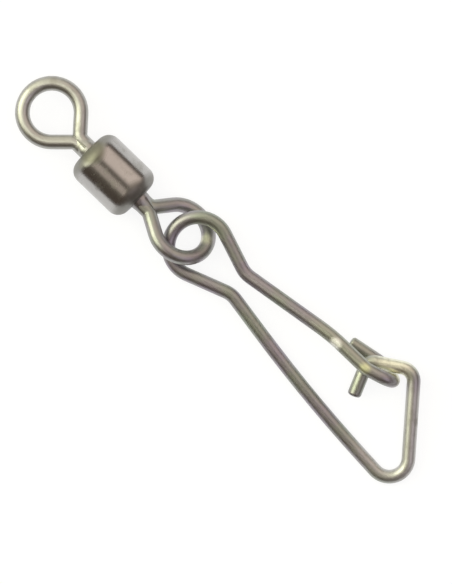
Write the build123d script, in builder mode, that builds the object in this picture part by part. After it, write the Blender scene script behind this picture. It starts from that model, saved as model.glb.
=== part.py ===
from build123d import *
from math import acos, asin, atan2, cos, degrees, radians, sin, sqrt
import os

os.makedirs("parts", exist_ok=True)

# Fishing swivel with a hooked wire snap, in millimetres.
# It lies on a table: +X runs along the swivel towards the snap and +Z is up.
# The origin is on the table, under the middle of the whole swivel.

# Barrel: a short tube with both ends rolled in over the heads of the eyes
barrel_diameter = 5.4
barrel_length = 6.5
barrel_wall = 0.5
barrel_end_wall = 0.55
barrel_face_rake = 0.08
barrel_shoulder_round = 1.2
cavity_round = 0.4
running_clearance = 0.06

# Both eyes: wire folded double, its two legs pressed half round and upset to a head in the barrel
eye_wire_diameter = 1.36
eye_loop_radius = 2.7
eye_loop_distance = 8.07
eye_leg_angle = 46.5
eye_leg_bend_radius = 0.9
stem_length = 0.3
stem_taper_length = 1.35
stem_taper_diameter = 1.1
stem_taper_round = 1.35
leg_seam_depth = 0.14
head_length = 1.3

# Each loop is bent a little to one side, and the snap eye is turned about the swivel's axis
line_eye_offset = -0.17
snap_eye_offset = 0.75
snap_eye_turn = 34

# Snap: one length of spring wire, measured from the middle of its round end
snap_wire_diameter = 1.28
snap_round_radius = 2.76
neck_upper = (4.78, 1.25)
neck_lower = (5.24, -1.0)
neck_bend_radius = 2.3
snap_end_round = 0.3

# Upper arm: rises over the lower one, turns down round it and ends under itself
upper_arm_bend = (14.44, 2.84)
upper_arm_bend_radius = 18.0
upper_arm_kink = (18.8, 2.9)
upper_arm_kink_radius = 1.4
hook_nose = (21.45, 3.68)
hook_tail_bend = (19.7, 3.9)
hook_tail_bend_radius = 3.0
hook_tail_end = (16.25, 3.26)
hook_gap = 0.1
hook_nose_flat = 0.06

# Lower arm: bowed, bent up to a slanted end, back across the hook and into a cut stub
lower_arm_bow = (16.93, -2.94)
lower_arm_bow_radius = 150.0
end_corner = (30.35, -3.82)
end_corner_radius = 1.78
end_corner_low_side = (0.3, -0.95)
top_corner = (22.17, 5.75)
top_corner_radius = 1.3
latch_corner = (18.5, 3.35)
latch_corner_radius = 0.85
stub_end = (19.86, 0.08)

# Where the middle of the snap's round end lies from the barrel's centre, before the snap rests
snap_from_barrel = (10.2, 0.64, -0.37)

barrel_radius = barrel_diameter / 2
eye_wire_radius = eye_wire_diameter / 2
snap_wire_radius = snap_wire_diameter / 2
stem_radius = eye_wire_diameter / sqrt(2)
bore_radius = stem_radius + running_clearance
cavity_radius = barrel_radius - barrel_wall
cavity_half_length = barrel_length / 2 - barrel_end_wall
head_radius = cavity_radius - cavity_round
hook_rise = snap_wire_diameter + hook_gap
hook_bend_radius = hook_rise - hook_nose_flat / 2


def touch_angle(centre, radius, point, side):
    """Angle about the centre where the straight line from a point touches the circle."""
    reach = Vector(*point) - Vector(*centre)
    return degrees(atan2(reach.Y, reach.X)) + side * degrees(acos(radius / reach.length))


def on_circle(centre, radius, angle):
    """Point of a circle at an angle from +X."""
    return (centre[0] + radius * cos(radians(angle)), centre[1] + radius * sin(radians(angle)))


# Centreline of the snap, flat on XY apart from the upper arm, about the middle of its round end
upper_touch = touch_angle((0, 0), snap_round_radius, neck_upper, 1)
lower_touch = touch_angle((0, 0), snap_round_radius, neck_lower, -1)
rise_per_length = hook_rise / (upper_arm_kink[0] - neck_upper[0])
upper_arm_bend_rise = rise_per_length * (upper_arm_bend[0] - neck_upper[0])
with BuildLine() as snap_line:
    CenterArc((0, 0), snap_round_radius, upper_touch, 360 + lower_touch - upper_touch)
    FilletPolyline(
        on_circle((0, 0), snap_round_radius, upper_touch),
        neck_upper,
        (*upper_arm_bend, upper_arm_bend_rise),
        (*upper_arm_kink, hook_rise),
        (*hook_nose, hook_rise),
        (*hook_nose, -hook_rise),
        (*hook_tail_bend, -hook_rise),
        (*hook_tail_end, -hook_rise),
        radius=[
            neck_bend_radius,
            upper_arm_bend_radius,
            upper_arm_kink_radius,
            hook_bend_radius,
            hook_bend_radius,
            hook_tail_bend_radius,
        ],
    )
    FilletPolyline(
        on_circle((0, 0), snap_round_radius, lower_touch),
        neck_lower,
        lower_arm_bow,
        end_corner,
        top_corner,
        latch_corner,
        stub_end,
        radius=[
            neck_bend_radius,
            lower_arm_bow_radius,
            end_corner_radius,
            top_corner_radius,
            latch_corner_radius,
        ],
    )

# The snap rests with its round end in the eye and with the hook's tail and the end corner on the table.
# Both of those touch it when they hang as far under the round end as it is high, less the wire.
snap_height = barrel_radius + snap_from_barrel[2]
tail = snap_line.edges().filter_by(GeomType.LINE).sort_by(Axis.Z)[0]
tail_support = tail.vertices().sort_by(Axis.X)[-1].center()
end_bend = snap_line.edges().filter_by(GeomType.CIRCLE).sort_by(Axis.X)[-1]
corner_support = end_bend.arc_center + Vector(*end_corner_low_side).normalized() * end_corner_radius
between = (corner_support - tail_support).normalized()
across = corner_support - between * corner_support.dot(between)
sine = (snap_wire_radius - snap_height) / across.length
up = across.normalized() * sine + between.cross(across.normalized()) * sqrt(1 - sine**2)
snap_pitch = -degrees(asin(up.X))
snap_roll = degrees(atan2(up.Y, up.Z))

# Places in the part's own frame
snap_box = snap_line.line.bounding_box()
line_eye_reach = eye_loop_distance + eye_loop_radius + eye_wire_radius
snap_reach = snap_from_barrel[0] + snap_box.max.X + snap_wire_radius
swivel_centre = Vector(
    (line_eye_reach - snap_reach) / 2,
    -snap_from_barrel[1] - (snap_box.min.Y + snap_box.max.Y) / 2,
    barrel_radius,
)
barrel_plane = Plane(swivel_centre)
line_eye_plane = Plane(swivel_centre, x_dir=(-1, 0, 0), z_dir=(0, 0, 1))
snap_eye_plane = Plane(
    swivel_centre, x_dir=(1, 0, 0), z_dir=(0, sin(radians(snap_eye_turn)), cos(radians(snap_eye_turn)))
)
snap_plane = Plane(
    swivel_centre + Vector(*snap_from_barrel),
    x_dir=(cos(radians(snap_pitch)), 0, -sin(radians(snap_pitch))),
    z_dir=(
        sin(radians(snap_pitch)) * cos(radians(snap_roll)),
        -sin(radians(snap_roll)),
        cos(radians(snap_pitch)) * cos(radians(snap_roll)),
    ),
)


def folded_eye(plane, loop_offset):
    """One eye: a loop of round wire, its two pressed legs and the head that the barrel holds."""
    head_face = cavity_half_length - running_clearance
    stem_end = barrel_length / 2 + stem_length
    loop_centre = (eye_loop_distance, loop_offset)
    apex = (eye_loop_distance - eye_loop_radius / sin(radians(eye_leg_angle)), 0)
    hole_corner = apex[0] + eye_wire_radius / sin(radians(eye_leg_angle))
    leg_offset = stem_radius - eye_wire_radius
    with BuildPart() as eye:
        for side in (1, -1):
            touch = touch_angle(loop_centre, eye_loop_radius, apex, -side) % 360
            touch_point = on_circle(loop_centre, eye_loop_radius, touch)
            slope = touch_point[1] / (touch_point[0] - apex[0])
            with BuildLine(plane) as half_loop:
                FilletPolyline(
                    (barrel_length / 2, side * leg_offset),
                    (apex[0] + side * leg_offset / slope, side * leg_offset),
                    touch_point,
                    radius=eye_leg_bend_radius,
                )
                CenterArc(loop_centre, eye_loop_radius, 0, touch if side > 0 else touch - 360)
            start = plane.from_local_coords((barrel_length / 2, side * leg_offset))
            with BuildSketch(Plane(start, z_dir=plane.x_dir)):
                Circle(eye_wire_radius)
            sweep(path=half_loop.wire())
        with BuildSketch(plane):
            with BuildLine():
                FilletPolyline(
                    (head_face - head_length, 0),
                    (head_face - head_length, head_radius),
                    (head_face, head_radius),
                    (head_face, stem_radius),
                    (stem_end, stem_radius),
                    (stem_end + stem_taper_length, stem_taper_diameter / 2),
                    (stem_end + stem_taper_length, 0),
                    radius=[0, 0, 0, stem_taper_round, 0],
                )
                Line((stem_end + stem_taper_length, 0), (head_face - head_length, 0))
            make_face()
        revolve(axis=Axis(plane.origin, plane.x_dir))
        # Seam between the two legs, along both faces of the stem
        for side in (1, -1):
            seam_start = plane.from_local_coords((stem_end, 0, side * stem_radius))
            seam_run = plane.from_local_coords((hole_corner, 0, side * stem_taper_diameter / 2)) - seam_start
            with BuildSketch(Plane(seam_start, x_dir=plane.y_dir, z_dir=plane.x_dir)):
                Rectangle(leg_seam_depth * sqrt(2), leg_seam_depth * sqrt(2), rotation=45)
            extrude(amount=seam_run.length, dir=seam_run, mode=Mode.SUBTRACT)
    return eye.part


with BuildPart() as barrel:
    with BuildSketch(barrel_plane):
        with BuildLine():
            FilletPolyline(
                (0, barrel_radius),
                (barrel_length / 2 - barrel_face_rake, barrel_radius),
                (barrel_length / 2, bore_radius),
                (cavity_half_length, bore_radius),
                (cavity_half_length, cavity_radius),
                (0, cavity_radius),
                radius=[barrel_shoulder_round, 0, 0, cavity_round],
            )
            Line((0, cavity_radius), (0, barrel_radius))
        make_face()
    revolve(axis=Axis(swivel_centre, (1, 0, 0)))
    mirror(about=Plane.YZ.offset(swivel_centre.X))

with BuildPart() as line_eye:
    add(folded_eye(line_eye_plane, line_eye_offset))

with BuildPart() as snap_eye:
    add(folded_eye(snap_eye_plane, snap_eye_offset))

with BuildPart() as snap_wire:
    snap_path = snap_line.wire().moved(snap_plane.location)
    with BuildSketch(Plane(snap_path @ 0, z_dir=snap_path % 0)):
        Circle(snap_wire_radius)
    sweep(path=snap_path)
    fillet(snap_wire.faces().filter_by(GeomType.PLANE).edges(), snap_end_round)

barrel.part.label = "barrel"
export_step(barrel.part, "parts/barrel.step")
line_eye.part.label = "line_eye"
export_step(line_eye.part, "parts/line_eye.step")
snap_eye.part.label = "snap_eye"
export_step(snap_eye.part, "parts/snap_eye.step")
snap_wire.part.label = "snap_wire"
export_step(snap_wire.part, "parts/snap_wire.step")
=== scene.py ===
import math
from collections import namedtuple

import bpy
from mathutils import Matrix, Vector

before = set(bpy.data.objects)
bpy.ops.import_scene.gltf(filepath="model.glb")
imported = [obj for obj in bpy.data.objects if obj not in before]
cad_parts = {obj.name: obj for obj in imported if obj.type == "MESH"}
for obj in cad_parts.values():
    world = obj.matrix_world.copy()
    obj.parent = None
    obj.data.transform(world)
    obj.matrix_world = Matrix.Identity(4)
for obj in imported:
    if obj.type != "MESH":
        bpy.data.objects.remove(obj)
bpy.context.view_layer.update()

# Metres. The swivel lies on the floor along +X, and the camera looks straight down on it,
# turned so that the swivel runs from the upper left to the lower right of the picture.
CAMERA_TURN = math.radians(44)
CAMERA_TARGET = Vector((0.0012, -0.0021, 0.0025))
CAMERA_VIEW_HEIGHT = 0.05373
CAMERA_LENS_MM = 200
CAMERA_SENSOR_MM = 36
CAMERA_NEAR_SHARE = 0.01

# Nickel plate of a piece: two tints in soft patches, the roughness, how much longer along each axis the
# fine lines are that drawing left along the wire or turning left round the barrel, and how strong they are.
# A zone changes the tint and the roughness by the distance from its middle, counted along its axes. It is
# full at one distance and gone at the other.
# Some zones paint a highlight or shade into the tint.
Finish = namedtuple("Finish", "tints patch_size roughness line_stretch line_depth seed zones")
Zone = namedtuple("Zone", "middle full_at gone_at tint roughness axes", defaults=[(1, 1, 1)])
FINISHES = {
    "barrel_plate": Finish(
        tints=((0.470, 0.460, 0.450), (0.452, 0.442, 0.433)),
        patch_size=0.0030,
        roughness=0.23,
        line_stretch=(1, 22, 22),
        line_depth=0.07,
        seed=2.0,
        zones={
            # Both rolled ends: rougher, and a darker tint that is painted shade, dimming the glints and
            # darkening the shoulders
            "shoulders": Zone((-0.01371, 0, 0), 0.0028, 0.0019, (0.300, 0.295, 0.278), 0.45, (1, 0, 0)),
            # Painted shade: a dark olive patch where the window's glint falls on the line eye's end, so the
            # glint shows small and olive
            "line_end_painted_shade": Zone((-0.0164, -0.0014, 0.0050), 0.0008, 0.0015, (0.240, 0.235, 0.195), 0.40),
            # Painted shade: a dark patch on top of the shoulder at the snap's end
            "snap_end_painted_shade": Zone((-0.0108, -0.0012, 0.0050), 0.0007, 0.0015, (0.200, 0.190, 0.175), 0.36),
        },
    ),
    "eye_wire": Finish(
        tints=((0.385, 0.398, 0.365), (0.400, 0.372, 0.400)),
        patch_size=0.0025,
        roughness=0.40,
        line_stretch=(16, 1, 1),
        line_depth=0.25,
        seed=5.0,
        zones={
            # Painted light: the whole line eye gets a lighter plate than the snap eye, for its brighter look
            "line_eye": Zone((-0.02178, -0.00136, 0.0027), 0.0080, 0.0120, (0.465, 0.462, 0.440), 0.39),
            # Painted highlight: a small pale yellow-green spot inside the snap eye
            "snap_eye_painted_highlight": Zone((-0.0035, 0.0001, 0.0021), 0.0002, 0.0009, (0.800, 0.800, 0.660), 0.44),
        },
    ),
    "snap_spring_wire": Finish(
        tints=((0.362, 0.386, 0.338), (0.376, 0.345, 0.384)),
        patch_size=0.0034,
        roughness=0.42,
        line_stretch=(16, 1, 1),
        line_depth=0.25,
        seed=8.0,
        zones={
            "kink": Zone((0.0125, 0.0021, 0.0030), 0.0020, 0.0055, (0.430, 0.440, 0.385), 0.42),
            # Painted highlight: a small white spot on the upper arm at its kink
            "kink_painted_highlight": Zone((0.0117, 0.0014, 0.0037), 0.0003, 0.0008, (1.000, 1.000, 0.980), 0.60),
            # Painted highlight: a small yellow-green spot on the upper arm near the hook
            "hook_painted_highlight": Zone((0.0152, 0.0017, 0.0040), 0.0002, 0.0008, (0.780, 0.800, 0.520), 0.44),
            # Painted highlight: a pale yellow tint along the latch limb, where it shows a bright streak
            "latch_painted_highlight": Zone((0.0170, 0.0038, 0.0022), 0.0013, 0.0026, (0.900, 0.900, 0.760), 0.38, (1, 1, 2)),
            "slanted_limb": Zone((0.0227, 0.0001, 0.0016), 0.0035, 0.0060, (0.560, 0.555, 0.540), 0.45),
        },
    ),
}
FINISH_OF = {
    "barrel": "barrel_plate",
    "line_eye": "eye_wire",
    "snap_eye": "eye_wire",
    "snap_wire": "snap_spring_wire",
}

# Noise in every plate: how fine and how rough it is, what is added to the finish's seed, and the values
# of the noise between which the layer comes in
Layer = namedtuple("Layer", "detail roughness seed_step edges")
PATCHES = Layer(3.0, 0.5, 0, (0.36, 0.64))
TARNISH = Layer(5.0, 0.5, 4, (0.52, 0.74))
LINES = Layer(4.0, 0.65, 9, (0.30, 0.70))
PITS = Layer(2.0, 0.5, 13, (0.70, 0.80))
SEED_STRIDE = (1.0, 1.7, 2.3)

TARNISH_TINT = (0.33, 0.32, 0.29)
TARNISH_SHARE = 0.55
TARNISH_SIZE = 0.0011
TARNISH_ROUGHER = 0.10

# What the fine lines do at a depth of 1: to the tint as a share, and to the roughness
LINE_SIZE = 0.00007
LINE_DARKER = 0.3
LINE_LIGHTER = 0.2
LINE_SMOOTHER = 0.15
LINE_ROUGHER = 0.2
PIT_SIZE = 0.00016
PIT_DEPTH = 0.8
RELIEF_HEIGHT = 0.000006

FLOOR_SIZE = 4.0
FLOOR_COLOUR = (0.93, 0.93, 0.925)
FLOOR_PLAIN_SHARE = 0.86

# Studio: each soft panel is a direction, how many degrees it reaches round that direction, how soft its
# edge is, its colour and its brightness
Panel = namedtuple("Panel", "towards reach edge colour strength")
STUDIO_DARK = (0.100, 0.076, 0.060)
STUDIO_PANELS = {
    "window": Panel((-0.67, -0.30, 0.68), 24, 10, (0.98, 1.0, 0.76), 3.8),
    "window_glow": Panel((-0.82, -0.10, 0.50), 32, 10, (1.0, 0.97, 0.84), 0.60),
    "warm_wall": Panel((0.05, 0.66, 0.75), 29, 7, (1.0, 0.86, 0.76), 0.93),
    "warm_wall_back": Panel((-0.70, 0.45, 0.55), 30, 9, (1.0, 0.97, 0.82), 1.0),
    "cool_wall": Panel((0.62, 0.20, 0.76), 18, 9, (0.98, 0.90, 1.0), 0.95),
    "ceiling": Panel((0.0, -0.34, 0.94), 13, 5, (1.0, 0.84, 0.76), 0.50),
}

# Lamps: the direction they stand in, how far off, their size, power and colour
Lamp = namedtuple("Lamp", "towards away size watts colour")
TOP_LIGHT = Lamp((0, 0, 1), 0.6, 0.5, 1.8, (1, 1, 1))
EYE_LIGHT = Lamp((-0.16, -0.07, 0.98), 0.6, 0.3, 0.42, (1.0, 1.0, 0.84))


def node(tree, kind, inputs=None, **settings):
    """A shader node with its settings and unlinked input values filled in."""
    made = tree.nodes.new(kind)
    for name, value in settings.items():
        setattr(made, name, value)
    for name, value in (inputs or {}).items():
        made.inputs[name].default_value = value
    return made


def feed(tree, socket, value):
    """Link a socket's value into another socket, or set it where it is a number or a vector."""
    if isinstance(value, bpy.types.NodeSocket):
        tree.links.new(value, socket)
    elif value is not None:
        socket.default_value = value


def calculate(tree, operation, first, second=None, third=None, clamp=False):
    """A math node on sockets or numbers; returns its output."""
    made = node(tree, "ShaderNodeMath", operation=operation, use_clamp=clamp)
    for socket, value in zip(made.inputs, (first, second, third)):
        feed(tree, socket, value)
    return made.outputs[0]


def vector_math(tree, operation, first, second=None, output="Vector"):
    """A vector math node on a socket and a fixed vector; returns the named output."""
    made = node(tree, "ShaderNodeVectorMath", operation=operation)
    feed(tree, made.inputs[0], first)
    feed(tree, made.inputs[1], second)
    return made.outputs[output]


def mix_colour(tree, factor, first, second, blend="MIX"):
    """A colour mix of two sockets or colours; returns its output."""
    made = node(tree, "ShaderNodeMix", data_type="RGBA", blend_type=blend)
    sockets = {socket.identifier: socket for socket in made.inputs}
    feed(tree, sockets["Factor_Float"], factor)
    for name, colour in (("A_Color", first), ("B_Color", second)):
        feed(tree, sockets[name], (*colour, 1) if isinstance(colour, tuple) else colour)
    return next(socket for socket in made.outputs if socket.identifier == "Result_Color")


def spread(tree, value, low, high, to_low=0.0, to_high=1.0):
    """Smooth ramp of a value from one range to another; returns its output."""
    ends = {"From Min": low, "From Max": high, "To Min": to_low, "To Max": to_high}
    made = node(tree, "ShaderNodeMapRange", ends, interpolation_type="SMOOTHSTEP")
    tree.links.new(value, made.inputs["Value"])
    return made.outputs["Result"]


def noise(tree, place, layer, size, seed, stretch=(1, 1, 1)):
    """Noise with blotches of about a given size in metres, longer along the axes with a stretch over 1."""
    scale = [1 / (size * longer) for longer in stretch]
    start = [(seed + layer.seed_step) * stride for stride in SEED_STRIDE]
    mapping = node(tree, "ShaderNodeMapping", {"Scale": scale, "Location": start})
    tree.links.new(place, mapping.inputs["Vector"])
    look = {"Scale": 1.0, "Detail": layer.detail, "Roughness": layer.roughness}
    made = node(tree, "ShaderNodeTexNoise", look)
    tree.links.new(mapping.outputs["Vector"], made.inputs["Vector"])
    return made.outputs["Fac"]


def nickel(name, finish):
    """Nickel plate with tinted patches, dull tarnish, its zones, some of them painted highlights and painted
    shade, fine lines and small pits.
    """
    material = bpy.data.materials.new(name)
    material.use_nodes = True
    tree = material.node_tree
    shader = tree.nodes["Principled BSDF"]
    shader.inputs["Metallic"].default_value = 1.0
    place = node(tree, "ShaderNodeTexCoord").outputs["Object"]

    patches = spread(tree, noise(tree, place, PATCHES, finish.patch_size, finish.seed), *PATCHES.edges)
    tarnish = spread(tree, noise(tree, place, TARNISH, TARNISH_SIZE, finish.seed), *TARNISH.edges)
    lines = noise(tree, place, LINES, LINE_SIZE, finish.seed, finish.line_stretch)
    pits = spread(tree, noise(tree, place, PITS, PIT_SIZE, finish.seed), *PITS.edges)

    plate = mix_colour(tree, patches, *finish.tints)
    rough = finish.roughness
    for zone in finish.zones.values():
        away = vector_math(tree, "SUBTRACT", place, zone.middle)
        away = vector_math(tree, "MULTIPLY", away, zone.axes)
        away = vector_math(tree, "LENGTH", away, output="Value")
        share = spread(tree, away, zone.gone_at, zone.full_at)
        plate = mix_colour(tree, share, plate, zone.tint)
        rough = calculate(tree, "MULTIPLY_ADD", share, zone.roughness - finish.roughness, rough)

    depth = finish.line_depth
    streaks = spread(tree, lines, *LINES.edges, 1 - LINE_DARKER * depth, 1 + LINE_LIGHTER * depth)
    plate = mix_colour(tree, calculate(tree, "MULTIPLY", tarnish, TARNISH_SHARE), plate, TARNISH_TINT)
    plate = mix_colour(tree, 1.0, plate, streaks, "MULTIPLY")
    tree.links.new(plate, shader.inputs["Base Color"])

    uneven = spread(tree, lines, *LINES.edges, -LINE_SMOOTHER * depth, LINE_ROUGHER * depth)
    rough = calculate(tree, "MULTIPLY_ADD", tarnish, TARNISH_ROUGHER, rough)
    rough = calculate(tree, "ADD", rough, uneven, clamp=True)
    tree.links.new(rough, shader.inputs["Roughness"])

    relief = calculate(tree, "SUBTRACT", lines, calculate(tree, "MULTIPLY", pits, PIT_DEPTH))
    bump = node(tree, "ShaderNodeBump", {"Strength": depth, "Distance": RELIEF_HEIGHT})
    tree.links.new(relief, bump.inputs["Height"])
    tree.links.new(bump.outputs["Normal"], shader.inputs["Normal"])
    return material


def floor_paper():
    """Paper that is plain white to the eye and in the metal, and keeps a part of the swivel's shadow."""
    material = bpy.data.materials.new("floor_paper")
    material.use_nodes = True
    tree = material.node_tree
    tree.nodes.clear()
    rays = node(tree, "ShaderNodeLightPath").outputs
    seen = calculate(tree, "ADD", rays["Is Camera Ray"], rays["Is Glossy Ray"])
    seen = calculate(tree, "ADD", seen, rays["Is Transmission Ray"], clamp=True)
    paper = node(tree, "ShaderNodeBsdfDiffuse", {"Color": (*FLOOR_COLOUR, 1)})
    plain = node(tree, "ShaderNodeEmission", {"Color": (1, 1, 1, 1), "Strength": 1.0})
    both = node(tree, "ShaderNodeMixShader")
    tree.links.new(calculate(tree, "MULTIPLY", seen, FLOOR_PLAIN_SHARE), both.inputs["Fac"])
    tree.links.new(paper.outputs[0], both.inputs[1])
    tree.links.new(plain.outputs[0], both.inputs[2])
    tree.links.new(both.outputs[0], node(tree, "ShaderNodeOutputMaterial").inputs["Surface"])
    return material


def studio_room():
    """World with soft panels of light round a dark room."""
    world = bpy.data.worlds.new("studio")
    world.use_nodes = True
    tree = world.node_tree
    tree.nodes.clear()
    direction = node(tree, "ShaderNodeTexCoord").outputs["Generated"]
    glow = None
    for panel in STUDIO_PANELS.values():
        towards = Vector(panel.towards).normalized()
        along = vector_math(tree, "DOT_PRODUCT", direction, towards, output="Value")
        outer = math.cos(math.radians(panel.reach + panel.edge))
        inner = math.cos(math.radians(panel.reach - panel.edge))
        strength = spread(tree, along, outer, inner, to_high=panel.strength)
        lit = mix_colour(tree, 1.0, panel.colour, strength, "MULTIPLY")
        glow = lit if glow is None else mix_colour(tree, 1.0, glow, lit, "LIGHTEN")
    room = mix_colour(tree, 1.0, glow, STUDIO_DARK, "ADD")
    background = node(tree, "ShaderNodeBackground", {"Strength": 1.0})
    tree.links.new(room, background.inputs["Color"])
    tree.links.new(background.outputs[0], node(tree, "ShaderNodeOutputWorld").inputs["Surface"])
    return world


def add_lamp(name, settings):
    """A round soft lamp that faces the swivel."""
    light = bpy.data.lights.new(name, "AREA")
    light.shape = "DISK"
    light.size = settings.size
    light.energy = settings.watts
    light.color = settings.colour
    lamp = bpy.data.objects.new(name, light)
    towards = Vector(settings.towards).normalized()
    lamp.location = towards * settings.away
    lamp.rotation_euler = towards.to_track_quat("Z", "Y").to_euler()
    bpy.context.scene.collection.objects.link(lamp)
    return lamp


finishes = {name: nickel(name, finish) for name, finish in FINISHES.items()}
for node_name, finish_name in FINISH_OF.items():
    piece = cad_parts[node_name]
    piece.data.materials.clear()
    piece.data.materials.append(finishes[finish_name])

bpy.ops.mesh.primitive_plane_add(size=FLOOR_SIZE)
floor = bpy.context.object
floor.name = "floor"
floor.data.materials.append(floor_paper())

bpy.context.scene.world = studio_room()

# Wide lamp overhead for the floor and its faint shadow, which the metal doesn't mirror
top_lamp = add_lamp("top_light", TOP_LIGHT)
top_lamp.visible_glossy = False

# Lamp beside the camera whose highlight runs along the crown of the line eye's loop only
eye_lamp = add_lamp("eye_light", EYE_LIGHT)
lit_pieces = bpy.data.collections.new("eye_light_pieces")
lit_pieces.objects.link(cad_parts["line_eye"])
eye_lamp.light_linking.receiver_collection = lit_pieces

camera_data = bpy.data.cameras.new("camera")
camera_data.lens = CAMERA_LENS_MM
camera_data.sensor_width = CAMERA_SENSOR_MM
distance = CAMERA_VIEW_HEIGHT * CAMERA_LENS_MM / CAMERA_SENSOR_MM
camera_data.clip_start = distance * CAMERA_NEAR_SHARE
camera_data.clip_end = FLOOR_SIZE * 2
camera = bpy.data.objects.new("camera", camera_data)
above = Matrix.Translation(CAMERA_TARGET + Vector((0, 0, distance)))
camera.matrix_world = above @ Matrix.Rotation(CAMERA_TURN, 4, "Z")
bpy.context.scene.collection.objects.link(camera)
bpy.context.scene.camera = camera
bpy.context.scene.view_settings.view_transform = "Standard"
